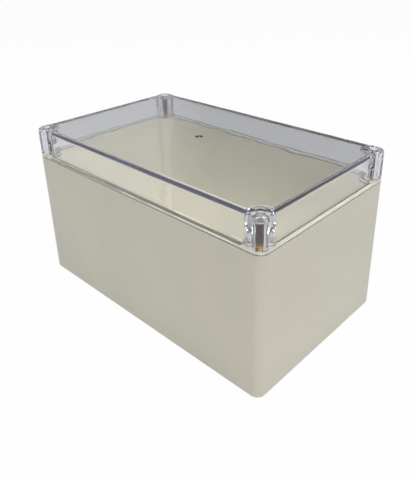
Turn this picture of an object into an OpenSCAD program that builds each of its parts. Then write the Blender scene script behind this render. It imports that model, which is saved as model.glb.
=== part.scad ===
// Screw-lid enclosure: an opaque box with a clear lid held by four corner screws.
// X runs along the length, Y along the width and Z up; z = 0 is the underside of the box.
// Every size is in millimetres.

/* [Case] */
// Outer length along X
length = 200; // [160:1:260]
// Outer width along Y
width = 120; // [90:1:170]
// Height from the underside of the base to the underside of the lid
base_h = 90.5; // [60:0.5:130]
// Height of the lid from its underside to its top face
lid_h = 20.2; // [19.2:0.5:30.2]
// Radius of the four upright outer corners, shared by base and lid
corner_r = 5.5; // [4.5:0.5:7]

/* [Base] */
// Thickness of the side walls
base_wall = 3; // [2.6:0.1:3.4]
// Thickness of the floor
base_floor = 3; // [2:0.25:5]
// Rounding of the bottom outer edges
base_edge_r = 1; // [0.5:0.25:2]
// Distance of each corner post axis from the two outer faces beside it
post_inset = 6.5; // [6.25:0.25:7.5]
// Diameter of the rounded corner posts inside the base
post_d = 13; // [12:0.5:14]
// Radius of the fillets between the posts and the side walls
wall_fillet_r = 2; // [1.9:0.1:2.4]
// Diameter of the screw hole in each post
post_hole_d = 3.2; // [3.2:0.05:3.4]
// Depth of the screw holes below the underside of the lid
post_hole_depth = 11; // [10:0.5:16]
// Gap between the rim and the underside of the lid
rim_gap = 0.1; // [0.05:0.05:0.2]

/* [Floor bosses] */
// Distance between boss axes along X
boss_pitch_x = 150; // [100:1:150]
// Distance between boss axes along Y
boss_pitch_y = 70; // [50:1:72]
// Outer diameter of each boss
boss_d = 7; // [6:0.5:9]
// Height of each boss above the floor
boss_h = 6; // [4:0.5:12]
// Diameter of the pilot hole in each boss
boss_pilot_d = 2.6; // [2:0.1:3.2]

/* [Foot holes] */
// Diameter of the blind pilot holes in the underside, one below each corner post
foot_pilot_d = 4.2; // [3.8:0.1:5]
// Depth of the blind pilot holes
foot_pilot_depth = 14; // [8:1:20]

/* [Lid] */
// Thickness of the top plate
lid_top = 3; // [2.5:0.25:4]
// Thickness of the recessed side panels
lid_wall = 2.6; // [2.4:0.1:2.8]
// Depth of the side panels behind the corner blocks and the bottom flange
panel_inset = 2.2; // [1.8:0.1:2.2]
// Rounding of the top edges of the side panels
panel_edge_r = 0.6; // [0.4:0.1:1.5]
// Height of the bottom flange
flange_h = 1.7; // [1.6:0.1:3]
// Rounding of the upper edge of the flange
flange_edge_r = 1.1; // [0.6:0.1:1.4]
// Length of each corner block along a side, from the outer corner
block_arm = 10.6; // [10:0.2:14]
// Rounding of the top edges of the corner blocks
block_edge_r = 2.2; // [1:0.1:2.6]
// Radius of the hollow fillet between a side panel and the end of a corner block
step_fillet_r = 1; // [0.6:0.1:1.4]
// Outer diameter of the screw tubes inside the lid
tube_d = 8; // [7:0.5:10]
// Radius of the fillets between the screw tubes and the side panels
tube_fillet_r = 0.5; // [0.3:0.1:1]
// Diameter of the wide collar at the top of each screw tube, round the counterbore
collar_d = 14; // [12:0.5:15]
// Height of the collars, measured down from the underside of the top plate
collar_h = 8.4; // [6:0.2:10]
// Radius of the fillets between the collars and the side panels
collar_fillet_r = 1.2; // [0.8:0.1:1.6]
// Height of the wide foot of each screw tube
tube_foot_h = 2.4; // [1.5:0.1:4]
// Diameter of the clearance bore for each screw
bore_d = 3.8; // [3.4:0.1:4.4]
// Depth of the counterbore that sinks each screw head
sink_depth = 5.2; // [4.8:0.1:7]
// Diameter of the shallow moulding dimple in the middle of the top plate
dimple_d = 5; // [3:0.5:8]
// Depth of the moulding dimple
dimple_depth = 0.5; // [0.3:0.1:1]

/* [Seal] */
// Thickness of the flat seal between its seat in the rim and the lid
seal_t = 0.5; // [0.3:0.05:1]
// Width of the seal, which runs along the inner edge of the rim
seal_w = 1.1; // [0.8:0.05:1.6]
// Gap between the seal and the outer wall of its seat
seal_gap = 0.1; // [0.05:0.05:0.2]

/* [Screws] */
// Thread diameter over the crests
thread_d = 3; // [2.8:0.05:3]
// Thread pitch
thread_pitch = 1.1; // [0.8:0.05:1.2]
// Length of the thread
thread_len = 11; // [9:0.5:12]
// Diameter of the plain shank between head and thread
shank_d = 3.3; // [3:0.05:3.4]
// Length of the screw under its head
screw_len = 23; // [21.5:0.5:24]
// Diameter of the head
head_d = 4.4; // [4.3:0.1:4.8]
// Height of the head
head_h = 2.2; // [1.8:0.1:2.8]
// Rounding of the top edge of the head
head_edge_r = 0.8; // [0.4:0.1:1]
// Radial gap between the head and its counterbore
head_gap = 0.2; // [0.2:0.05:0.5]
// Length of each arm pair of the cross recess, tip to tip
cross_len = 2.6; // [2.2:0.1:2.8]
// Width of the arms of the cross recess
cross_w = 0.7; // [0.6:0.1:1]
// Depth of the cross recess
cross_depth = 1.4; // [1:0.1:1.6]
// Thickness of the sealing washer under the head
washer_t = 0.8; // [0.5:0.1:1]
// Radial gap between the washer bore and the plain shank
washer_gap = 0.1; // [0.05:0.05:0.15]
// Depth of the washer edge behind the edge of the head
washer_step = 0.1; // [0.05:0.05:0.3]

/* [Hidden] */
$fn = 96;
// Overlap that lets a cut pass cleanly through a face
cut = 1;
total_h = base_h + lid_h;
rim_z = base_h - rim_gap;
seat_z = base_h - seal_t;
post_r = post_d / 2;
// Inset of the lid inner wall, and the tube foot and its fillet, which run parallel to the post below
lid_inset = panel_inset + lid_wall;
foot_r = post_r + lid_inset - base_wall;
foot_fillet_r = wall_fillet_r + base_wall - lid_inset;
// Counterbore, washer and head levels
sink_d = head_d + 2 * head_gap;
ledge_z = total_h - sink_depth;
head_z = ledge_z + washer_t;
tip_z = head_z - screw_len;
thread_top_z = tip_z + thread_len;
washer_d = head_d - 2 * washer_step;
washer_bore_d = shank_d + 2 * washer_gap;
// Thread form as rings: flank depth, half widths at crest and root, and the number of whole turns
thread_depth = 0.35 * thread_pitch;
crest_r = thread_d / 2;
root_r = crest_r - thread_depth;
crest_half = thread_pitch / 18;
root_half = thread_pitch / 3;
turns = floor(thread_len / thread_pitch - 0.5);
// Pilot hole depth in a floor boss, kept inside boss and floor
boss_pilot_depth = boss_h + base_floor / 3;

// Repeats its children at the four corners, mirrored so that local +X and +Y point outward
module at_corners(inset) {
    for (mx = [0, 1], my = [0, 1])
        mirror([mx, 0, 0])
            mirror([0, my, 0])
                translate([length / 2 - inset, width / 2 - inset, 0])
                    children();
}

// Places its children on one post axis
module at_post(sx, sy) {
    translate([sx * (length / 2 - post_inset), sy * (width / 2 - post_inset), 0])
        children();
}

// Repeats its children with X and Y exchanged
module both_ways() {
    children();
    mirror([1, -1, 0])
        children();
}

// Rectangle with round corners
module outline(l, w, r) {
    square([l - 2 * r, w], center = true);
    square([l, w - 2 * r], center = true);
    for (x = [-1, 1], y = [-1, 1])
        translate([x * (l / 2 - r), y * (w / 2 - r)])
            circle(r);
}

// Quarter of a disc in the first quadrant
module quarter_disc(r) {
    intersection() {
        circle(r);
        square(r);
    }
}

// Block with round upright corners and rounded top edges
module rounded_block(l, w, h, r, e) {
    linear_extrude(h - e)
        outline(l, w, r);
    linear_extrude(h)
        outline(l - 2 * e, w - 2 * e, r - e);
    for (my = [0, 1])
        mirror([0, my, 0])
            translate([r - l / 2, w / 2 - e, h - e])
                rotate([90, 0, 90])
                    linear_extrude(l - 2 * r)
                        quarter_disc(e);
    for (mx = [0, 1])
        mirror([mx, 0, 0])
            translate([l / 2 - e, w / 2 - r, h - e])
                rotate([90, 0, 0])
                    linear_extrude(w - 2 * r)
                        quarter_disc(e);
    for (mx = [0, 1], my = [0, 1])
        mirror([mx, 0, 0])
            mirror([0, my, 0])
                translate([l / 2 - r, w / 2 - r, h - e])
                    rotate_extrude(angle = 90)
                        translate([r - e, 0])
                            quarter_disc(e);
}

// Web that joins a round post of radius r to a wall of thickness t with a fillet f, run on into the wall
module fillet_web(t, r, f) {
    lift = post_inset - t - f;
    reach = sqrt((r + f) ^ 2 - lift ^ 2);
    difference() {
        polygon([[0, 0], [0, post_inset], [-reach, post_inset], [-reach, lift]]);
        translate([-reach, lift])
            circle(f);
    }
}

// Outline of the space inside walls of thickness t, bulging inward round corner posts of radius r
module cavity(t, r, f) {
    difference() {
        square([length - 2 * t, width - 2 * t], center = true);
        at_corners(post_inset) {
            circle(r);
            square(post_inset);
            both_ways()
                fillet_web(t, r, f);
        }
    }
}

// Outline that runs parallel to the inside of the base, moved out into the rim by a distance d
module base_inside(d) {
    cavity(base_wall - d, post_r - d, wall_fillet_r + d);
}

// Box: walls, floor, corner posts, seal seat, floor bosses and the holes for screws and feet
module base() {
    color([0.80, 0.79, 0.73])
        difference() {
            union() {
                difference() {
                    translate([0, 0, rim_z])
                        mirror([0, 0, 1])
                            rounded_block(length, width, rim_z, corner_r, base_edge_r);
                    translate([0, 0, base_floor])
                        linear_extrude(base_h)
                            base_inside(0);
                    translate([0, 0, seat_z])
                        linear_extrude(seal_t)
                            base_inside(seal_w + seal_gap);
                }
                for (x = [-0.5, 0.5], y = [-0.5, 0.5])
                    translate([x * boss_pitch_x, y * boss_pitch_y, base_floor / 2])
                        cylinder(d = boss_d, h = base_floor / 2 + boss_h);
            }
            at_corners(post_inset)
                translate([0, 0, base_h - post_hole_depth])
                    cylinder(d = post_hole_d, h = post_hole_depth + cut);
            at_corners(post_inset)
                translate([0, 0, -cut])
                    cylinder(d = foot_pilot_d, h = foot_pilot_depth + cut);
            for (x = [-0.5, 0.5], y = [-0.5, 0.5])
                translate([x * boss_pitch_x, y * boss_pitch_y, base_floor + boss_h - boss_pilot_depth])
                    cylinder(d = boss_pilot_d, h = boss_pilot_depth + cut);
        }
}

// Hollow fillet in the corner between a side panel and the end of a corner block, run into both
module step_fillet() {
    translate([-block_arm - step_fillet_r, -panel_inset])
        difference() {
            translate([0, -step_fillet_r])
                square([2 * step_fillet_r, 2 * step_fillet_r]);
            translate([0, step_fillet_r])
                circle(step_fillet_r);
        }
}

// Outer body of the lid before it is hollowed: recessed panels, corner blocks and bottom flange
module lid_body() {
    panel_l = length - 2 * panel_inset;
    panel_w = width - 2 * panel_inset;
    rounded_block(panel_l, panel_w, lid_h, corner_r, panel_edge_r);
    intersection() {
        rounded_block(length, width, lid_h, corner_r, block_edge_r);
        at_corners(block_arm)
            translate([0, 0, -cut])
                cube([block_arm + cut, block_arm + cut, lid_h + 2 * cut]);
    }
    linear_extrude(lid_h - block_edge_r)
        at_corners(0)
            both_ways()
                step_fillet();
    rounded_block(length, width, flange_h, corner_r, flange_edge_r);
}

// Clear lid: hollow body with screw tubes between wide feet and collars, bores, counterbores and dimple
module lid() {
    ceiling_z = lid_h - lid_top;
    color([0.72, 0.76, 0.90, 0.35])
        translate([0, 0, base_h])
            difference() {
                lid_body();
                translate([0, 0, -cut])
                    linear_extrude(tube_foot_h + 2 * cut)
                        cavity(lid_inset, foot_r, foot_fillet_r);
                translate([0, 0, tube_foot_h])
                    linear_extrude(ceiling_z - collar_h - tube_foot_h)
                        cavity(lid_inset, tube_d / 2, tube_fillet_r);
                translate([0, 0, tube_foot_h])
                    linear_extrude(ceiling_z - tube_foot_h)
                        cavity(lid_inset, collar_d / 2, collar_fillet_r);
                at_corners(post_inset)
                    translate([0, 0, -cut])
                        cylinder(d = bore_d, h = lid_h + 2 * cut);
                at_corners(post_inset)
                    translate([0, 0, lid_h - sink_depth])
                        cylinder(d = sink_d, h = sink_depth + cut);
                translate([0, 0, lid_h - dimple_depth])
                    cylinder(d = dimple_d, h = dimple_depth + cut);
            }
}

// Flat seal on its seat along the inner edge of the rim, inside the screws
module gasket() {
    color([0.45, 0.45, 0.43])
        translate([0, 0, seat_z])
            linear_extrude(seal_t)
                difference() {
                    base_inside(seal_w);
                    base_inside(0);
                }
}

// Half section of the head with a rounded top edge
module head_section() {
    square([head_d / 2 - head_edge_r, head_h]);
    square([head_d / 2, head_h - head_edge_r]);
    translate([head_d / 2 - head_edge_r, head_h - head_edge_r])
        circle(head_edge_r);
}

// Half section of the threaded end: a chamfered tip and one ring for every turn of pitch
module thread_section() {
    rings = [for (i = [1 : turns]) each [
        [root_r, i * thread_pitch - root_half],
        [crest_r, i * thread_pitch - crest_half],
        [crest_r, i * thread_pitch + crest_half],
        [root_r, i * thread_pitch + root_half]]];
    tip = [[0, 0], [root_r - root_half, 0], [root_r, root_half]];
    shoulder = [[root_r, thread_len], [0, thread_len]];
    polygon(concat(tip, rings, shoulder));
}

// Screw in place on the Z axis: head with cross recess, plain shank and threaded end
module screw_body() {
    difference() {
        union() {
            translate([0, 0, head_z])
                rotate_extrude()
                    head_section();
            translate([0, 0, thread_top_z])
                cylinder(d = shank_d, h = head_z + head_h / 4 - thread_top_z);
            translate([0, 0, tip_z])
                rotate_extrude()
                    thread_section();
        }
        for (a = [0, 90])
            rotate([0, 0, a])
                translate([-cross_len / 2, -cross_w / 2, head_z + head_h - cross_depth])
                    cube([cross_len, cross_w, cross_depth + cut]);
    }
}

module lid_screw_fl() {
    color([0.74, 0.60, 0.30])
        at_post(-1, -1)
            screw_body();
}

module lid_screw_fr() {
    color([0.74, 0.60, 0.30])
        at_post(1, -1)
            screw_body();
}

module lid_screw_bl() {
    color([0.74, 0.60, 0.30])
        at_post(-1, 1)
            screw_body();
}

module lid_screw_br() {
    color([0.74, 0.60, 0.30])
        at_post(1, 1)
            screw_body();
}

// Retaining washer between the head and the floor of the counterbore
module washer_body() {
    translate([0, 0, ledge_z])
        difference() {
            cylinder(d = washer_d, h = washer_t);
            translate([0, 0, -cut])
                cylinder(d = washer_bore_d, h = washer_t + 2 * cut);
        }
}

module screw_washer_fl() {
    color([0.92, 0.91, 0.86])
        at_post(-1, -1)
            washer_body();
}

module screw_washer_fr() {
    color([0.92, 0.91, 0.86])
        at_post(1, -1)
            washer_body();
}

module screw_washer_bl() {
    color([0.92, 0.91, 0.86])
        at_post(-1, 1)
            washer_body();
}

module screw_washer_br() {
    color([0.92, 0.91, 0.86])
        at_post(1, 1)
            washer_body();
}

base();
lid();
gasket();
lid_screw_fl();
lid_screw_fr();
lid_screw_bl();
lid_screw_br();
screw_washer_fl();
screw_washer_fr();
screw_washer_bl();
screw_washer_br();
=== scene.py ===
import math

import bmesh
import bpy
from mathutils import Matrix, Vector
from mathutils.geometry import tessellate_polygon


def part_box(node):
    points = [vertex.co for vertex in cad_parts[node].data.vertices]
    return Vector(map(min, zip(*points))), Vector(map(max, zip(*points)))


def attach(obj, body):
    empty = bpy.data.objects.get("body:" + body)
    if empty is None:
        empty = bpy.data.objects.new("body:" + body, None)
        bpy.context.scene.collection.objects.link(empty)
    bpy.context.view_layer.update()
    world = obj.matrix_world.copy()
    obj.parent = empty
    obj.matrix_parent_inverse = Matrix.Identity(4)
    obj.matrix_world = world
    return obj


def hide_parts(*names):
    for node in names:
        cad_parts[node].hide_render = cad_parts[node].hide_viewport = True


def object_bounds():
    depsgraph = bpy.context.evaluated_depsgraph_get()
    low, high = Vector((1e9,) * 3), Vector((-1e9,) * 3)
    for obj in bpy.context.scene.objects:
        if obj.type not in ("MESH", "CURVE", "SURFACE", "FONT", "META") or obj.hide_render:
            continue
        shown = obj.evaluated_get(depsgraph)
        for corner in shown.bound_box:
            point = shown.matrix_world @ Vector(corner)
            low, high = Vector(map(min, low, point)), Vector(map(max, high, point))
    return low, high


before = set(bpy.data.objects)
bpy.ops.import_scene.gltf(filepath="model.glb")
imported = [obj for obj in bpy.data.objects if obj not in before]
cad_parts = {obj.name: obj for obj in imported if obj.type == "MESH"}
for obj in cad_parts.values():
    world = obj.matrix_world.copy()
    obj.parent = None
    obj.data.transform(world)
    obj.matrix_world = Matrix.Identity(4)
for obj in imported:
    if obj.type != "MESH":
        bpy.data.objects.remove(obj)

CAD_LOW, CAD_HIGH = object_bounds()
LID_LOW, LID_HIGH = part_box("lid")

# Millimetres to metres: shapes are written in millimetres, as in the part's source
MM = 0.001


def in_mm(metres):
    """A length of the frame in millimetres, to a thousandth."""
    return round(metres / MM, 3)


# Case: its outside comes from the frame, and the underside of the lid is the parting plane
LENGTH = in_mm(CAD_HIGH.x - CAD_LOW.x)
WIDTH = in_mm(CAD_HIGH.y - CAD_LOW.y)
BASE_H = in_mm(LID_LOW.z)
LID_H = in_mm(LID_HIGH.z - LID_LOW.z)
CORNER_R = 5.5
BASE_WALL, BASE_FLOOR, BASE_EDGE_R, RIM_EDGE_R = 3.0, 3.0, 1.0, 0.15
FLOOR_FILLET_R, WALL_FILLET_R = 1.2, 2.0
# Undercut shadow groove round the top of the base: the lip above it, its mouth, its depth and its drop
LIP_H, GROOVE_H, GROOVE_D, GROOVE_DROP = 0.08, 0.6, 1.2, 0.8
# Corner posts, the screw holes in them and the foot holes below them
POST_INSET, POST_R, POST_HOLE_R, POST_HOLE_DEPTH = 6.5, 6.5, 1.6, 11.0
FOOT_R, FOOT_DEPTH = 2.1, 14.0
# Bosses on the floor: a hollow runs round the foot, and the pilot goes on into the floor
BOSS_X, BOSS_Y, BOSS_R, BOSS_H, BOSS_PILOT_R = 75.0, 35.0, 3.5, 6.0, 1.3
BOSS_FOOT, BOSS_HOLLOW, PILOT_BELOW = 0.6, 0.18, 1.0
# Chamfer at the mouths of holes, on the bosses and at the bottom of a counterbore
CHAMFER = 0.3

# Lid
LID_TOP, LID_WALL, PANEL_INSET, FLANGE_H = 3.0, 2.6, 2.2, 1.7
LID_INSET = PANEL_INSET + LID_WALL
BLOCK_ARM, BLOCK_EDGE_R, PANEL_EDGE_R, LID_INNER_R = 10.6, 2.2, 0.6, 0.8
STEP_FILLET_R, STEP_EDGE_R, FLANGE_EDGE_R, UNDER_EDGE_R = 1.0, 0.3, 1.1, 0.5
# Most of a step's depth that its fillet and its edge may take
FILLET_SHARE, EDGE_SHARE = 0.45, 0.2
# Screw tubes, with a wide foot below and a wide collar above, which begins with a slope
TUBE_R, TUBE_FILLET_R, TUBE_FOOT_H = 4.0, 0.5, 2.4
COLLAR_R, COLLAR_FILLET_R, COLLAR_Z, COLLAR_SLOPE = 7.0, 1.2, 8.0, 1.5
# Screw bores and their counterbores
BORE_R, BORE_CHAMFER, SINK_R, SINK_DEPTH, MOUTH_R = 1.9, 0.2, 2.4, 5.2, 0.4
# Moulding dimple from its brim to the nub in its middle: radius, and depth below the top
DIMPLE = ((2.8, 0.0), (2.5, 0.12), (2.05, 0.4), (1.6, 0.5), (1.0, 0.5), (0.8, 0.2))

# Seal
SEAL_T, SEAL_W, SEAL_GAP, SEAL_BEVEL = 0.5, 1.1, 0.1, 0.03
SEAT_Z = BASE_H - SEAL_T
# Rim and seal are pressed this far into the lid, so that it meets them with no film of air
PRESSED = 0.02
RIM_Z = BASE_H + PRESSED

# Screws and washers
THREAD_R, THREAD_PITCH, THREAD_LEN, THREAD_DEPTH = 1.5, 1.1, 11.0, 0.38
# Thread ridge: height and slope, cut off flat at 1, and the lengths of its fade at the tip and at the top
RIDGE_PEAK, RIDGE_SLOPE, TIP_FADE, TOP_FADE = 1.2, 3.6, 1.6, 0.9
# Thread core: how far and over what length the tip narrows, and the length that widens to the shank
TIP_TAPER, TIP_LEN, RUN_OUT = 0.4, 0.8, 0.6
# Shank: its radius, its lead above the thread and the hollow below the head
SHANK_R, SHANK_LEAD, NECK_R = 1.65, 0.15, 0.3
SCREW_LEN, HEAD_R, HEAD_H, HEAD_EDGE_R, HEAD_BEVEL = 23.0, 2.2, 2.2, 0.8, 0.1
# Cross recess: half its span, width of an arm, depth, bevel, and the shares of span and width at its bottom
CROSS_HALF, CROSS_W, CROSS_DEPTH, CROSS_BEVEL = 1.3, 0.7, 1.4, 0.08
CROSS_SPAN_SHARE, CROSS_W_SHARE = 0.62, 0.8
# How far the screw's tone (painted shade on the shank, painted highlight on the head) blends past the end of
# its thread, below its head and into it
THREAD_BLEND, NECK_BLEND, HEAD_BLEND = 0.4, 0.5, 0.2
WASHER_T, WASHER_R, WASHER_BORE_R, WASHER_BEVEL = 0.8, 2.1, 1.75, 0.1
LEDGE_Z = BASE_H + LID_H - SINK_DEPTH
HEAD_Z = LEDGE_Z + WASHER_T

# Facets: steps along a corner, a post, the fillet of a post, and the fillet and edge of a step
ARC_STEPS, POST_STEPS, FILLET_STEPS, STEP_STEPS, STEP_EDGE_STEPS = 20, 40, 8, 8, 3
# Facets: steps of a usual rounding, the lid's top edge, a fine edge and a small edge, and round a hole
EDGE_STEPS, TOP_STEPS, FINE_STEPS, SMALL_STEPS, HOLE_STEPS = 8, 16, 4, 6, 64
# Facets: steps round a screw, and rows of its thread in one turn
SCREW_STEPS, THREAD_ROWS = 40, 12
# Narrow band that keeps a flat face flat beside a rounding
SUPPORT = 0.06
# Degrees beyond which an edge stays sharp: on mouldings, on screws and on bevelled or swept rings
SHARP, SCREW_SHARP, RING_SHARP = 34, 40, 60
# Points nearer than this, in metres, are one point
WELD = 1e-7

HX, HY = LENGTH / 2, WIDTH / 2
# Outer corners in order round the case: the sharp corner, the way in along one side and the way out
CORNERS = (
    (Vector((HX, -HY)), Vector((1, 0)), Vector((0, 1))),
    (Vector((HX, HY)), Vector((0, 1)), Vector((-1, 0))),
    (Vector((-HX, HY)), Vector((-1, 0)), Vector((0, -1))),
    (Vector((-HX, -HY)), Vector((0, -1)), Vector((1, 0))),
)
POST_X, POST_Y = HX - POST_INSET, HY - POST_INSET
POSTS = {
    "fl": (-POST_X, -POST_Y),
    "fr": (POST_X, -POST_Y),
    "bl": (-POST_X, POST_Y),
    "br": (POST_X, POST_Y),
}


# Outlines

def at_corner(corner, along, across):
    sharp, way_in, way_out = corner
    return sharp + way_in * along + way_out * across


def block_points(corner, inset):
    """Outer edge of one corner block: its two arms and the rounded corner between them."""
    r = CORNER_R - inset
    pts = [at_corner(corner, inset - BLOCK_ARM, inset), at_corner(corner, -CORNER_R - SUPPORT, inset)]
    for k in range(ARC_STEPS + 1):
        a = math.radians(-90 + 90 * k / ARC_STEPS)
        pts.append(at_corner(corner, -CORNER_R + r * math.cos(a), CORNER_R + r * math.sin(a)))
    pts += [at_corner(corner, -inset, CORNER_R + SUPPORT), at_corner(corner, -inset, BLOCK_ARM - inset)]
    return pts


def case_outline(inset):
    return [p for c in CORNERS for p in block_points(c, inset)]


def step_points(inset, panel):
    """From a side panel to the flush face of a corner block: hollow fillet, then rounded edge."""
    fillet = min(STEP_FILLET_R, panel * FILLET_SHARE)
    edge = min(STEP_EDGE_R, panel * EDGE_SHARE)
    cx, cy, r = -BLOCK_ARM - fillet, panel - fillet, fillet + inset
    if inset > cy:
        end = math.asin((inset - cy) / r)
        corner = (cx + r * math.cos(end), max(inset, cy + r * math.sin(end)))
    else:
        end = 0.0
        corner = (inset - BLOCK_ARM, inset)
    pts = [(cx - SUPPORT, cy + r)]
    for k in range(STEP_STEPS + 1):
        a = math.pi / 2 + (end - math.pi / 2) * k / STEP_STEPS
        pts.append((cx + r * math.cos(a), cy + r * math.sin(a)))
    left = edge - inset
    for k in range(STEP_EDGE_STEPS + 1):
        a = math.pi + math.pi / 2 * k / STEP_EDGE_STEPS
        rounded = (edge - BLOCK_ARM + left * math.cos(a), edge + left * math.sin(a))
        pts.append(rounded if left > 0 else corner)
    return pts


def lid_outline(inset, panel=PANEL_INSET):
    pts = []
    for c in CORNERS:
        step = step_points(inset, panel)
        pts += [at_corner(c, x, y) for x, y in step]
        pts += block_points(c, inset)[1:-1]
        pts += [at_corner(c, -y, -x) for x, y in reversed(step)]
    return pts


def post_outline(wall, post, fillet):
    """Outline inside a wall of this thickness, bulging inward round the corner posts, with filleted feet."""
    gap = POST_INSET - wall
    lift = gap - fillet
    w = math.sqrt((post + fillet) ** 2 - lift * lift)
    lean = math.atan2(lift, w)
    first = [(-w - SUPPORT, -gap)]
    for k in range(FILLET_STEPS + 1):
        a = math.pi / 2 + (lean - math.pi / 2) * k / FILLET_STEPS
        first.append((-w + fillet * math.cos(a), -lift - fillet * math.sin(a)))
    middle = []
    for k in range(1, POST_STEPS):
        a = math.pi + lean - (math.pi / 2 + 2 * lean) * k / POST_STEPS
        middle.append((post * math.cos(a), post * math.sin(a)))
    last = [(-y, -x) for x, y in reversed(first)]
    return [
        at_corner(c, -POST_INSET + x, POST_INSET + y)
        for c in CORNERS for x, y in first + middle + last
    ]


def case_inside(inset):
    """Inside of the base and every outline that runs parallel to it, by inset from the outer face."""
    grow = inset - BASE_WALL
    return post_outline(inset, POST_R + grow, WALL_FILLET_R - grow)


def lid_collar(grow):
    """Inside of the lid round the collars of the screw tubes, moved inward by grow."""
    return post_outline(LID_INSET + grow, COLLAR_R + grow, COLLAR_FILLET_R - grow)


def circle(x, y, r, steps=HOLE_STEPS):
    return [
        Vector((x + r * math.cos(2 * math.pi * k / steps), y + r * math.sin(2 * math.pi * k / steps)))
        for k in range(steps)
    ]


def cross(x, y, half, width):
    """Outline of a cross recess, going round from its +X arm."""
    w = width / 2
    pts = []
    for k in range(4):
        c, n = math.cos(k * math.pi / 2), math.sin(k * math.pi / 2)
        for a, b in ((half, -w), (half, w), (w, w)):
            pts.append(Vector((x + a * c - b * n, y + a * n + b * c)))
    return pts


def rounding(r, steps=EDGE_STEPS):
    """(inset, rise) along a quarter round, from the wall to the face."""
    return [
        (r * (1 - math.cos(math.pi / 2 * k / steps)), r * math.sin(math.pi / 2 * k / steps))
        for k in range(steps + 1)
    ]


def bevelled(first, last, low, high, e):
    """(across, z) round the section of a flat ring that has bevels of e on its four edges."""
    return [
        (first + e, low), (first, low + e), (first, high - e), (first + e, high),
        (last - e, high), (last, high - e), (last, low + e), (last - e, low),
    ]


# Meshes

class Shell:
    """A closed mesh put together from level rings, in millimetres."""

    def __init__(self):
        self.verts, self.faces = [], []

    def ring(self, points, z):
        first = len(self.verts)
        self.verts += [(p[0], p[1], z) for p in points]
        return list(range(first, len(self.verts)))

    def bridge(self, a, b):
        n = len(a)
        self.faces += [(a[i], a[(i + 1) % n], b[(i + 1) % n], b[i]) for i in range(n)]

    def loft(self, rings):
        for a, b in zip(rings, rings[1:]):
            self.bridge(a, b)

    def fill(self, *loops):
        """Flat face inside the first loop, with a hole at each other one."""
        flat = [i for loop in loops for i in loop]
        coords = [[Vector(self.verts[i]) for i in loop] for loop in loops]
        self.faces += [tuple(flat[i] for i in tri) for tri in tessellate_polygon(coords)]

    def turned(self, x, y, rings, closed=True):
        """A hole or boss through the given (radius, z) rings, closed at its last one. Returns its rings."""
        made = [self.ring(circle(x, y, r), z) for r, z in rings]
        self.loft(made)
        if closed:
            self.fill(made[-1])
        return made

    def object(self, name, sharp=SHARP):
        mesh = bpy.data.meshes.new(name)
        mesh.from_pydata([tuple(c * MM for c in v) for v in self.verts], [], self.faces)
        return finish_mesh(mesh, name, sharp)


def finish_mesh(mesh, name, sharp):
    bm = bmesh.new()
    bm.from_mesh(mesh)
    bmesh.ops.remove_doubles(bm, verts=bm.verts, dist=WELD)
    bmesh.ops.recalc_face_normals(bm, faces=bm.faces)
    for f in bm.faces:
        f.smooth = True
    for e in bm.edges:
        if len(e.link_faces) == 2:
            e.smooth = e.calc_face_angle() < math.radians(sharp)
    bm.to_mesh(mesh)
    bm.free()
    obj = bpy.data.objects.new(name, mesh)
    bpy.context.scene.collection.objects.link(obj)
    return obj


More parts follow.
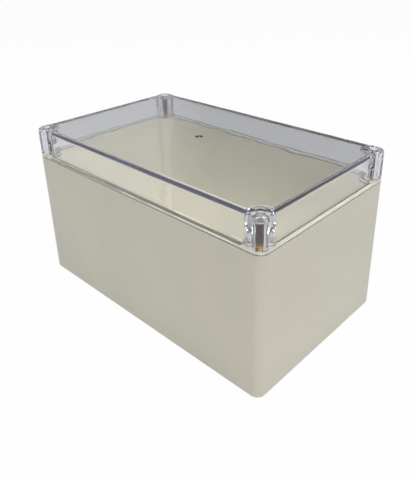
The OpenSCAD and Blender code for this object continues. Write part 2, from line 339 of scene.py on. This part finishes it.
def make_base():
    s = Shell()
    # underside and outer face, with a rounded lower edge
    under = s.ring(case_outline(BASE_EDGE_R + SUPPORT), 0)
    outer = [under]
    outer += [s.ring(case_outline(i), BASE_EDGE_R - h) for i, h in reversed(rounding(BASE_EDGE_R))]
    outer.append(s.ring(case_outline(0), BASE_EDGE_R + SUPPORT))
    # rounded upper edge of the outer face, shadow groove and the lip that covers it
    edge = BASE_H - LIP_H - GROOVE_H
    outer.append(s.ring(case_outline(0), edge - RIM_EDGE_R - SUPPORT))
    for i, h in rounding(RIM_EDGE_R, FINE_STEPS):
        outer.append(s.ring(case_outline(i), edge - RIM_EDGE_R + h))
    outer += [s.ring(case_outline(GROOVE_D), z) for z in (edge - GROOVE_DROP, BASE_H - LIP_H)]
    outer += [s.ring(case_outline(0), z) for z in (BASE_H - LIP_H, RIM_Z)]
    s.loft(outer)
    # seal seat, inner wall and floor
    seat, wall = case_inside(BASE_WALL - SEAL_W - SEAL_GAP), case_inside(BASE_WALL)
    inner = [s.ring(seat, RIM_Z), s.ring(seat, SEAT_Z), s.ring(wall, SEAT_Z)]
    inner.append(s.ring(wall, BASE_FLOOR + FLOOR_FILLET_R + SUPPORT))
    for i, h in rounding(FLOOR_FILLET_R):
        inner.append(s.ring(case_inside(BASE_WALL + i), BASE_FLOOR + FLOOR_FILLET_R - h))
    inner.append(s.ring(case_inside(BASE_WALL + FLOOR_FILLET_R + SUPPORT), BASE_FLOOR))
    s.loft(inner)
    # floor bosses, screw holes in the posts and foot holes
    top = BASE_FLOOR + BOSS_H
    boss = [
        (BOSS_R + BOSS_FOOT + SUPPORT, BASE_FLOOR), (BOSS_R + BOSS_FOOT, BASE_FLOOR),
        (BOSS_R + BOSS_HOLLOW, BASE_FLOOR + BOSS_HOLLOW), (BOSS_R, BASE_FLOOR + BOSS_FOOT),
        (BOSS_R, top - CHAMFER), (BOSS_R - CHAMFER, top), (BOSS_PILOT_R + CHAMFER, top),
        (BOSS_PILOT_R, top - CHAMFER), (BOSS_PILOT_R, BASE_FLOOR - PILOT_BELOW),
    ]
    post_hole = [
        (POST_HOLE_R + CHAMFER, RIM_Z), (POST_HOLE_R, RIM_Z - CHAMFER),
        (POST_HOLE_R, BASE_H - POST_HOLE_DEPTH),
    ]
    foot_hole = [(FOOT_R + CHAMFER, 0), (FOOT_R, CHAMFER), (FOOT_R, FOOT_DEPTH)]
    boss_feet = [s.turned(x, y, boss)[0] for x in (-BOSS_X, BOSS_X) for y in (-BOSS_Y, BOSS_Y)]
    post_mouths = [s.turned(x, y, post_hole)[0] for x, y in POSTS.values()]
    foot_mouths = [s.turned(x, y, foot_hole)[0] for x, y in POSTS.values()]
    s.fill(outer[-1], inner[0], *post_mouths)
    s.fill(inner[-1], *boss_feet)
    s.fill(under, *foot_mouths)
    return s.object("case_base")


def make_lid():
    s = Shell()
    # underside, flange with its rounded edges and the walls
    under = s.ring(lid_outline(UNDER_EDGE_R + SUPPORT, 0), 0)
    outer = [under]
    outer += [s.ring(lid_outline(i, 0), UNDER_EDGE_R - h) for i, h in reversed(rounding(UNDER_EDGE_R))]
    outer.append(s.ring(lid_outline(0, 0), FLANGE_H - FLANGE_EDGE_R))
    for i, h in rounding(FLANGE_EDGE_R)[1:]:
        outer.append(s.ring(lid_outline(0, i), FLANGE_H - FLANGE_EDGE_R + h))
    outer.append(s.ring(lid_outline(0), FLANGE_H))
    outer.append(s.ring(lid_outline(0), LID_H - BLOCK_EDGE_R - SUPPORT))
    # rounded top edge, wider on the corner blocks than on the panels
    for i, h in rounding(BLOCK_EDGE_R, TOP_STEPS):
        rise = max(0.0, h - BLOCK_EDGE_R + PANEL_EDGE_R)
        panel = PANEL_INSET + PANEL_EDGE_R - math.sqrt(PANEL_EDGE_R ** 2 - rise ** 2)
        outer.append(s.ring(lid_outline(i, panel - i), LID_H - BLOCK_EDGE_R + h))
    flat = BLOCK_EDGE_R + SUPPORT
    top = s.ring(lid_outline(flat, PANEL_INSET + PANEL_EDGE_R + SUPPORT - flat), LID_H)
    s.loft(outer + [top])
    # screw bores with counterbores, and the moulding dimple
    ledge = LID_H - SINK_DEPTH
    bore = [(SINK_R + MOUTH_R + SUPPORT, LID_H)]
    bore += [(SINK_R + MOUTH_R - h, LID_H - i) for i, h in rounding(MOUTH_R, FINE_STEPS)]
    bore += [(SINK_R, ledge + CHAMFER), (SINK_R - CHAMFER, ledge), (BORE_R, ledge)]
    bore += [(BORE_R, BORE_CHAMFER), (BORE_R + BORE_CHAMFER, 0)]
    bores = [s.turned(x, y, bore, closed=False) for x, y in POSTS.values()]
    dimple = [(DIMPLE[0][0] + SUPPORT, LID_H)]
    dimple += [(r, LID_H - depth) for r, depth in DIMPLE]
    brim = s.turned(0, 0, dimple)[0]
    s.fill(top, *[rings[0] for rings in bores], brim)
    # the solid foot round each screw tube, the tube, its collar and the hollow inside
    ceiling = LID_H - LID_TOP
    foot = case_inside(LID_INSET)
    tube = post_outline(LID_INSET, TUBE_R, TUBE_FILLET_R)
    collar = lid_collar(0)
    inner = [s.ring(foot, 0), s.ring(foot, TUBE_FOOT_H), s.ring(tube, TUBE_FOOT_H), s.ring(tube, COLLAR_Z)]
    inner.append(s.ring(collar, COLLAR_Z + COLLAR_SLOPE))
    inner.append(s.ring(collar, ceiling - LID_INNER_R - SUPPORT))
    for i, h in rounding(LID_INNER_R, SMALL_STEPS):
        inner.append(s.ring(lid_collar(i), ceiling - LID_INNER_R + h))
    inner.append(s.ring(lid_collar(LID_INNER_R + SUPPORT), ceiling))
    s.loft(inner)
    s.fill(inner[-1])
    s.fill(under, inner[0], *[rings[-1] for rings in bores])
    s.verts = [(x, y, z + BASE_H) for x, y, z in s.verts]
    return s.object("clear_lid")


def make_seal():
    """Flat seal pressed wide on its seat along the inner edge of the rim."""
    s = Shell()
    outer = BASE_WALL - SEAL_W - SEAL_GAP + PRESSED
    section = bevelled(outer, BASE_WALL, SEAT_Z, RIM_Z, SEAL_BEVEL)
    rings = [s.ring(case_inside(i), z) for i, z in section]
    s.loft(rings + rings[:1])
    return s.object("seal_flat", RING_SHARP)


def make_washer(name, x, y):
    s = Shell()
    section = bevelled(WASHER_BORE_R, WASHER_R, LEDGE_Z, HEAD_Z, WASHER_BEVEL)
    rings = [s.ring(circle(x, y, r), z) for r, z in section]
    s.loft(rings + rings[:1])
    return s.object(name, RING_SHARP)


def thread_points(x, y, z):
    """Outline of the right-hand thread at height z above the tip of a screw."""
    root = THREAD_R - THREAD_DEPTH
    below_shank = THREAD_LEN - z
    fade = min(1.0, z / TIP_FADE) * min(1.0, below_shank / TOP_FADE)
    core = root - TIP_TAPER * (1 - min(1.0, z / TIP_LEN))
    core += (SHANK_R - root) * max(0.0, 1 - below_shank / RUN_OUT)
    pts = []
    for k in range(SCREW_STEPS):
        a = 2 * math.pi * k / SCREW_STEPS
        phase = (z / THREAD_PITCH - k / SCREW_STEPS) % 1.0
        ridge = max(0.0, min(1.0, RIDGE_PEAK - RIDGE_SLOPE * abs(phase - 0.5)))
        r = core + (THREAD_R - core) * ridge * fade
        pts.append(Vector((x + r * math.cos(a), y + r * math.sin(a))))
    return pts


def make_screw(name, x, y):
    """Pan head with a cross recess, plain shank and a right-hand thread."""
    s = Shell()
    tip = HEAD_Z - SCREW_LEN
    top = HEAD_Z + HEAD_H
    rows = round(THREAD_LEN / THREAD_PITCH * THREAD_ROWS)
    heights = [THREAD_LEN * k / rows for k in range(rows + 1)]
    body = [s.ring(thread_points(x, y, z), tip + z) for z in heights]
    s.fill(body[0])
    turned = [
        (SHANK_R, tip + THREAD_LEN + SHANK_LEAD), (SHANK_R, HEAD_Z - NECK_R), (SHANK_R + NECK_R, HEAD_Z),
        (HEAD_R - HEAD_BEVEL, HEAD_Z), (HEAD_R, HEAD_Z + HEAD_BEVEL),
    ]
    turned += [(HEAD_R - i, top - HEAD_EDGE_R + h) for i, h in rounding(HEAD_EDGE_R, SMALL_STEPS)]
    turned.append((HEAD_R - HEAD_EDGE_R - SUPPORT, top))
    body += [s.ring(circle(x, y, r, SCREW_STEPS), z) for r, z in turned]
    s.loft(body)
    recess = [s.ring(cross(x, y, half, w), top - depth) for half, w, depth in (
        (CROSS_HALF + CROSS_BEVEL, CROSS_W + 2 * CROSS_BEVEL, 0),
        (CROSS_HALF, CROSS_W, CROSS_BEVEL),
        (CROSS_HALF * CROSS_SPAN_SHARE, CROSS_W * CROSS_W_SHARE, CROSS_DEPTH),
    )]
    s.loft(recess)
    s.fill(body[-1], recess[0])
    s.fill(recess[-1])
    return s.object(name, SCREW_SHARP)


# Materials: noise scales are per metre, and bump distances are in metres

def srgb(r, g, b):
    def lin(c):
        c /= 255
        return c / 12.92 if c <= 0.04045 else ((c + 0.055) / 1.055) ** 2.4
    return (lin(r), lin(g), lin(b), 1.0)


class Nodes:
    """Short hand for the nodes of one material or world, its owner."""

    def __init__(self, owner, out="ShaderNodeOutputMaterial"):
        owner.use_nodes = True
        self.owner, self.tree = owner, owner.node_tree
        self.tree.nodes.clear()
        self.out = self.add(out)

    def set(self, socket, value):
        """Links a socket to another one, or gives it a plain value."""
        if isinstance(value, bpy.types.NodeSocket):
            self.tree.links.new(value, socket)
        else:
            socket.default_value = value

    def add(self, kind, **values):
        """A new node with these settings and sockets, where _ stands for a space in a socket's name."""
        n = self.tree.nodes.new(kind)
        for name, value in values.items():
            if hasattr(n, name):
                setattr(n, name, value)
            else:
                self.set(n.inputs[name.replace("_", " ")], value)
        return n

    def place(self):
        return self.add("ShaderNodeTexCoord").outputs["Object"]

    def noise(self, coords, scale, detail=3.0, rough=0.5):
        n = self.add("ShaderNodeTexNoise", Vector=coords, Scale=scale, Detail=detail, Roughness=rough)
        return n.outputs["Fac"]

    def ramp(self, fac, stops):
        n = self.add("ShaderNodeValToRGB", Fac=fac)
        el = n.color_ramp.elements
        while len(el) < len(stops):
            el.new(0.5)
        for e, (at, colour) in zip(el, stops):
            e.position, e.color = at, colour
        return n.outputs["Color"]

    def span(self, fac, low, high):
        return self.add("ShaderNodeMapRange", Value=fac, To_Min=low, To_Max=high).outputs["Result"]

    def rise(self, coords, low, high):
        """0 at height low and 1 at height high, both in millimetres."""
        height = self.add("ShaderNodeSeparateXYZ", Vector=coords).outputs["Z"]
        n = self.add("ShaderNodeMapRange", Value=height, From_Min=low * MM, From_Max=high * MM)
        return n.outputs["Result"]

    def mix(self, fac, a, b, mode="MIX"):
        """Mix of two colours, by the number of the sockets, because other types share their names."""
        n = self.add("ShaderNodeMix", data_type="RGBA", blend_type=mode)
        for socket, value in ((n.inputs[0], fac), (n.inputs[6], a), (n.inputs[7], b)):
            self.set(socket, value)
        return n.outputs[2]

    def bump(self, height, strength, distance):
        n = self.add("ShaderNodeBump", Height=height, Strength=strength, Distance=distance)
        return n.outputs["Normal"]

    def surface(self, **values):
        n = self.add("ShaderNodeBsdfPrincipled", **values)
        self.set(self.out.inputs["Surface"], n.outputs["BSDF"])


def abs_plastic():
    """Warm grey moulded plastic: faint mottling, a fine satin grain, a few dark specks and painted shade on
    the rim under the lid.
    """
    m = Nodes(bpy.data.materials.new("abs_satin"))
    at = m.place()
    cloud = m.noise(at, 14.0, 4.0, 0.55)
    tone = m.ramp(cloud, [(0.30, srgb(198, 195, 181)), (0.70, srgb(205, 202, 187))])
    speck = m.noise(at, 260.0, 1.0, 0.4)
    spots = m.ramp(speck, [(0.84, (0, 0, 0, 1)), (0.86, (1, 1, 1, 1))])
    tone = m.mix(spots, tone, srgb(140, 133, 118))
    # Painted shade: the rim land under the lid is greyer, standing in for the shadow that the lid does not
    # cast
    tone = m.mix(m.rise(at, BASE_H - LIP_H, BASE_H), tone, srgb(178, 175, 163))
    grain = m.noise(at, 2600.0, 2.0, 0.6)
    m.surface(
        Base_Color=tone,
        Roughness=m.span(m.noise(at, 55.0, 3.0, 0.6), 0.36, 0.46),
        Specular_IOR_Level=0.5,
        IOR=1.53,
        Normal=m.bump(grain, 0.12, 0.0002),
    )
    return m.owner


def clear_plastic():
    """Clear polycarbonate: slightly wavy moulded faces and a faint blue in the thickness."""
    m = Nodes(bpy.data.materials.new("clear_polycarbonate"))
    at = m.place()
    flow = m.add("ShaderNodeMapping", Vector=at, Scale=(0.35, 0.35, 1.6))
    wave = m.noise(flow.outputs["Vector"], 60.0, 2.0, 0.5)
    smear = m.noise(at, 38.0, 4.0, 0.6)
    m.surface(
        Base_Color=(0.80, 0.81, 0.82, 1.0),
        Roughness=m.span(smear, 0.0, 0.03),
        IOR=1.585,
        Transmission_Weight=1.0,
        Normal=m.bump(wave, 0.4, 0.0008),
    )
    inside = m.add("ShaderNodeVolumeAbsorption", Color=(0.08, 0.10, 0.36, 1.0), Density=20.0)
    m.set(m.out.inputs["Volume"], inside.outputs["Volume"])
    return m.owner


def silicone():
    """Grey silicone, faintly mottled."""
    m = Nodes(bpy.data.materials.new("grey_silicone"))
    at = m.place()
    m.surface(
        Base_Color=m.ramp(m.noise(at, 90.0), [(0.3, srgb(96, 95, 90)), (0.7, srgb(108, 107, 102))]),
        Roughness=m.span(m.noise(at, 400.0), 0.45, 0.6),
        IOR=1.42,
        Normal=m.bump(m.noise(at, 1500.0), 0.1, 0.0002),
    )
    return m.owner


def screw_metal():
    """Plated screw: yellow thread, a brown shank that is painted shade, a pale head that is a painted
    highlight, and a stained finish.
    """
    m = Nodes(bpy.data.materials.new("plated_screw"))
    at = m.place()
    along = m.rise(at, HEAD_Z - SCREW_LEN, HEAD_Z + HEAD_H)
    whole = SCREW_LEN + HEAD_H
    # Painted light along the screw: the shank is darkened as painted shade and the head lightened as a
    # painted highlight; the yellow of the thread is the metal's own
    tone = m.ramp(along, [
        (0.0, srgb(190, 154, 80)),
        ((THREAD_LEN - THREAD_BLEND) / whole, srgb(180, 140, 70)),
        ((THREAD_LEN + THREAD_BLEND) / whole, srgb(84, 58, 44)),
        ((SCREW_LEN - NECK_BLEND) / whole, srgb(76, 58, 48)),
        ((SCREW_LEN + HEAD_BLEND) / whole, srgb(176, 172, 168)),
        (1.0, srgb(196, 193, 188)),
    ])
    stain = m.ramp(m.noise(at, 700.0, 4.0, 0.6), [(0.3, (0.78, 0.76, 0.74, 1)), (0.7, (1, 1, 1, 1))])
    m.surface(
        Base_Color=m.mix(1.0, tone, stain, "MULTIPLY"),
        Metallic=1.0,
        Roughness=m.span(m.noise(at, 900.0), 0.2, 0.34),
        Normal=m.bump(m.noise(at, 3000.0), 0.08, 0.0001),
    )
    return m.owner


def nylon():
    """Natural nylon, a little translucent."""
    m = Nodes(bpy.data.materials.new("natural_nylon"))
    at = m.place()
    m.surface(
        Base_Color=m.ramp(m.noise(at, 300.0), [(0.3, srgb(222, 219, 208)), (0.7, srgb(234, 232, 222))]),
        Roughness=m.span(m.noise(at, 700.0), 0.35, 0.5),
        IOR=1.53,
        Subsurface_Weight=0.2,
        Subsurface_Radius=(0.002, 0.002, 0.0018),
    )
    return m.owner


# Pieces

def dress(obj, material, body, node):
    obj.data.materials.append(material)
    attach(obj, body)
    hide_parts(node)
    return obj


dress(make_base(), abs_plastic(), "case", "base")
lid = dress(make_lid(), clear_plastic(), "lid", "lid")
lid.visible_shadow = False
dress(make_seal(), silicone(), "case", "gasket")
PLATED, NYLON = screw_metal(), nylon()
for post, (post_x, post_y) in POSTS.items():
    screw = make_screw("screw_" + post, post_x, post_y)
    dress(screw, PLATED, "screw_" + post, "lid_screw_" + post)
    washer = make_washer("washer_" + post, post_x, post_y)
    dress(washer, NYLON, "washer_" + post, "screw_washer_" + post)


# Stage: floor and world

FLOOR_R, SWEEP_R = 4000.0, 900.0
# Share of plain white in the floor that the eye sees, which leaves the rest to the object's shadow
FLOOR_WHITE = 0.97
# World: its plain light, and the light of a soft window that the top of the lid mirrors on its left
WORLD_LIGHT, WINDOW_LIGHT = 0.2, 0.5
# The way to the window, and how far its outer and inner edges are from its middle
WINDOW_AZ, WINDOW_EL, WINDOW_OUTER, WINDOW_INNER = (math.radians(a) for a in (155, 17, 21, 12))


def make_floor():
    """Round floor that sweeps up at its edge into a low backdrop."""
    s = Shell()
    rings = [s.ring(circle(0, 0, FLOOR_R + out), rise) for rise, out in rounding(SWEEP_R)]
    s.fill(rings[0])
    s.loft(rings)
    return s.object("floor", RING_SHARP)


def looked_at(nodes):
    """1 for camera, glossy and transmission rays, which see the background as plain white."""
    path = nodes.add("ShaderNodeLightPath")
    seen = path.outputs["Is Camera Ray"]
    for kind in ("Is Glossy Ray", "Is Transmission Ray"):
        either = nodes.add("ShaderNodeMath", operation="MAXIMUM")
        nodes.set(either.inputs[0], seen)
        nodes.set(either.inputs[1], path.outputs[kind])
        seen = either.outputs[0]
    return seen


def floor_white():
    """Grey to the light that bounces off it, and nearly white to the eye."""
    m = Nodes(bpy.data.materials.new("floor_white"))
    diffuse = m.add("ShaderNodeBsdfDiffuse", Color=(0.5, 0.5, 0.5, 1))
    glow = m.add("ShaderNodeEmission", Color=(1, 1, 1, 1), Strength=1.0)
    share = m.add("ShaderNodeMath", operation="MULTIPLY")
    m.set(share.inputs[0], looked_at(m))
    m.set(share.inputs[1], FLOOR_WHITE)
    blend = m.add("ShaderNodeMixShader", Fac=share.outputs[0])
    m.set(blend.inputs[1], diffuse.outputs[0])
    m.set(blend.inputs[2], glow.outputs[0])
    m.set(m.out.inputs["Surface"], blend.outputs[0])
    return m.owner


def make_world():
    """Plain even light, with the soft window in it."""
    w = Nodes(bpy.data.worlds.new("studio"), "ShaderNodeOutputWorld")
    level = math.cos(WINDOW_EL)
    to_window = (math.cos(WINDOW_AZ) * level, math.sin(WINDOW_AZ) * level, math.sin(WINDOW_EL))
    facing = w.add("ShaderNodeVectorMath", operation="DOT_PRODUCT")
    w.set(facing.inputs[0], w.add("ShaderNodeTexCoord").outputs["Generated"])
    w.set(facing.inputs[1], to_window)
    light = w.add(
        "ShaderNodeMapRange", interpolation_type="SMOOTHSTEP", Value=facing.outputs["Value"],
        From_Min=math.cos(WINDOW_OUTER), From_Max=math.cos(WINDOW_INNER),
        To_Min=WORLD_LIGHT, To_Max=WINDOW_LIGHT)
    sky = w.add("ShaderNodeBackground", Color=(0.98, 0.99, 1.0, 1), Strength=light.outputs["Result"])
    w.set(w.out.inputs["Surface"], sky.outputs[0])
    return w.owner


floor = make_floor()
floor.data.materials.append(floor_white())
bpy.context.scene.world = make_world()


# Lamps

LAMP_AIM, LAMP_COLOUR = (0, 0, 0.06), (1.0, 0.99, 0.97)
# Name, place and size in metres, and watts
LAMPS = (
    ("overhead", (0.12, 0.12, 1.3), (1.4, 1.0), 6.0),
    ("right_high", (0.7, 0.0, 1.2), (0.7, 0.6), 12.0),
    ("front_high", (0.1, -0.7, 1.2), (0.7, 0.6), 9.5),
    ("left_fill", (-1.1, -0.1, 0.7), (0.8, 0.6), 2.0),
    ("back_fill", (0.2, 1.1, 0.7), (0.8, 0.6), 2.0),
)


def soft_lamp(name, place, size, watts):
    data = bpy.data.lights.new(name, "AREA")
    data.shape = "RECTANGLE"
    data.size, data.size_y = size
    data.energy = watts
    data.color = LAMP_COLOUR
    obj = bpy.data.objects.new(name, data)
    bpy.context.scene.collection.objects.link(obj)
    obj.location = place
    obj.rotation_euler = (Vector(LAMP_AIM) - Vector(place)).to_track_quat("-Z", "Y").to_euler()


for lamp in LAMPS:
    soft_lamp(*lamp)


# Camera, from the photograph's perspective: place in millimetres, angles in degrees, sizes in pixels

CAM_AT = (230.675, -227.214, 226.282)
CAM_AZ, CAM_EL, CAM_ROLL = 43.727, 24.170, 0.995
FOCAL_PX, CENTRE_X, CENTRE_Y = 532.176, 215.042, 178.617
IMAGE_W, IMAGE_H = 413, 480
# Width of the sensor in millimetres, and the nearest and farthest that is drawn in metres
SENSOR, NEAREST, FARTHEST = 36.0, 0.01, 20.0


def make_camera():
    data = bpy.data.cameras.new("camera")
    cam = bpy.data.objects.new("camera", data)
    bpy.context.scene.collection.objects.link(cam)
    az, el, roll = (math.radians(a) for a in (CAM_AZ, CAM_EL, CAM_ROLL))
    back = Vector((math.sin(az) * math.cos(el), -math.cos(az) * math.cos(el), math.sin(el)))
    right = Vector((math.cos(az), math.sin(az), 0))
    up = back.cross(right)
    x_axis = right * math.cos(roll) - up * math.sin(roll)
    y_axis = right * math.sin(roll) + up * math.cos(roll)
    turn = Matrix((x_axis, y_axis, back)).transposed().to_4x4()
    cam.matrix_world = Matrix.Translation(Vector(CAM_AT) * MM) @ turn
    data.sensor_fit = "AUTO"
    data.sensor_width = SENSOR
    data.lens = SENSOR * FOCAL_PX / IMAGE_H
    data.shift_x = (IMAGE_W / 2 - CENTRE_X) / IMAGE_H
    data.shift_y = (CENTRE_Y - IMAGE_H / 2) / IMAGE_H
    data.clip_start, data.clip_end = NEAREST, FARTHEST
    return cam


bpy.context.scene.camera = make_camera()

# Light goes through many faces of the clear lid, so it may bounce often
BOUNCES = 128
bpy.context.scene.view_settings.view_transform = "Standard"
bpy.context.scene.cycles.blur_glossy = 0.0
bpy.context.scene.cycles.max_bounces = BOUNCES
bpy.context.scene.cycles.transmission_bounces = BOUNCES
bpy.context.scene.cycles.glossy_bounces = BOUNCES
